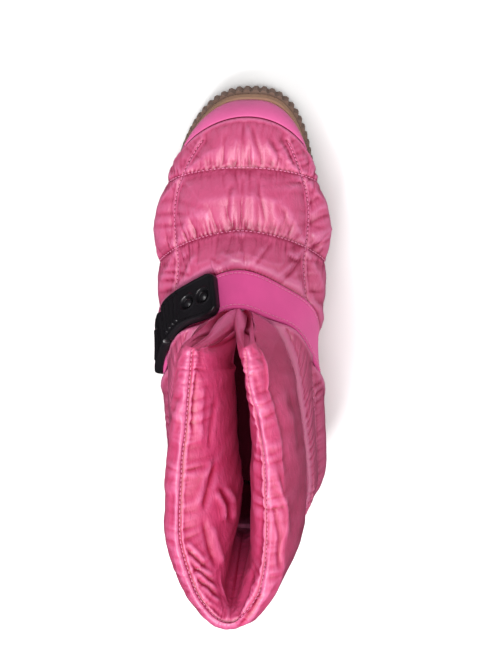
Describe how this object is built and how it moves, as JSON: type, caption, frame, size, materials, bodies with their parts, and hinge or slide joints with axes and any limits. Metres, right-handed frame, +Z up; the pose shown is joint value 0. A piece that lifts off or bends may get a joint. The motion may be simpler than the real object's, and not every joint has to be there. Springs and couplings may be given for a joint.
{
  "type": "puffer ankle boot",
  "caption": "Quilted puffer ankle boot for the left foot, with a padded collar split at the front, a buckled instep strap and a thick ribbed rubber sole",
  "frame": {"origin": "on the floor, under the middle of the boot's box", "axes": "+Z up, -Y towards the toe, +Y towards the heel, +X towards the outer (lateral) side of the left foot"},
  "size_m": [0.116, 0.2926, 0.231],
  "materials": {
    "outsole_rubber": "matte, scalloped ribs",
    "midsole_band": "smooth matte",
    "insole_felt": "short felt",
    "quilted_nylon": "glossy wrinkled nylon over filling",
    "lining_nylon": "glossy thin nylon",
    "rand_fabric": "matte coated fabric",
    "strap_webbing": "matte woven",
    "stitch_thread": "satin thread",
    "buckle_plastic": "satin moulded"
  },
  "bodies": {
    "root": {"outsole": "outsole_rubber", "midsole": "midsole_band", "insole": "insole_felt", "upper": "quilted_nylon", "toe_rand": "rand_fabric", "shaft": "quilted_nylon", "instep_strap": "strap_webbing", "strap_anchor": "strap_webbing", "buckle_plate": "buckle_plastic", "buckle_catch": "buckle_plastic", "buckle_rivet_1": "buckle_plastic", "buckle_rivet_2": "buckle_plastic"}
  },
  "joints": []
}
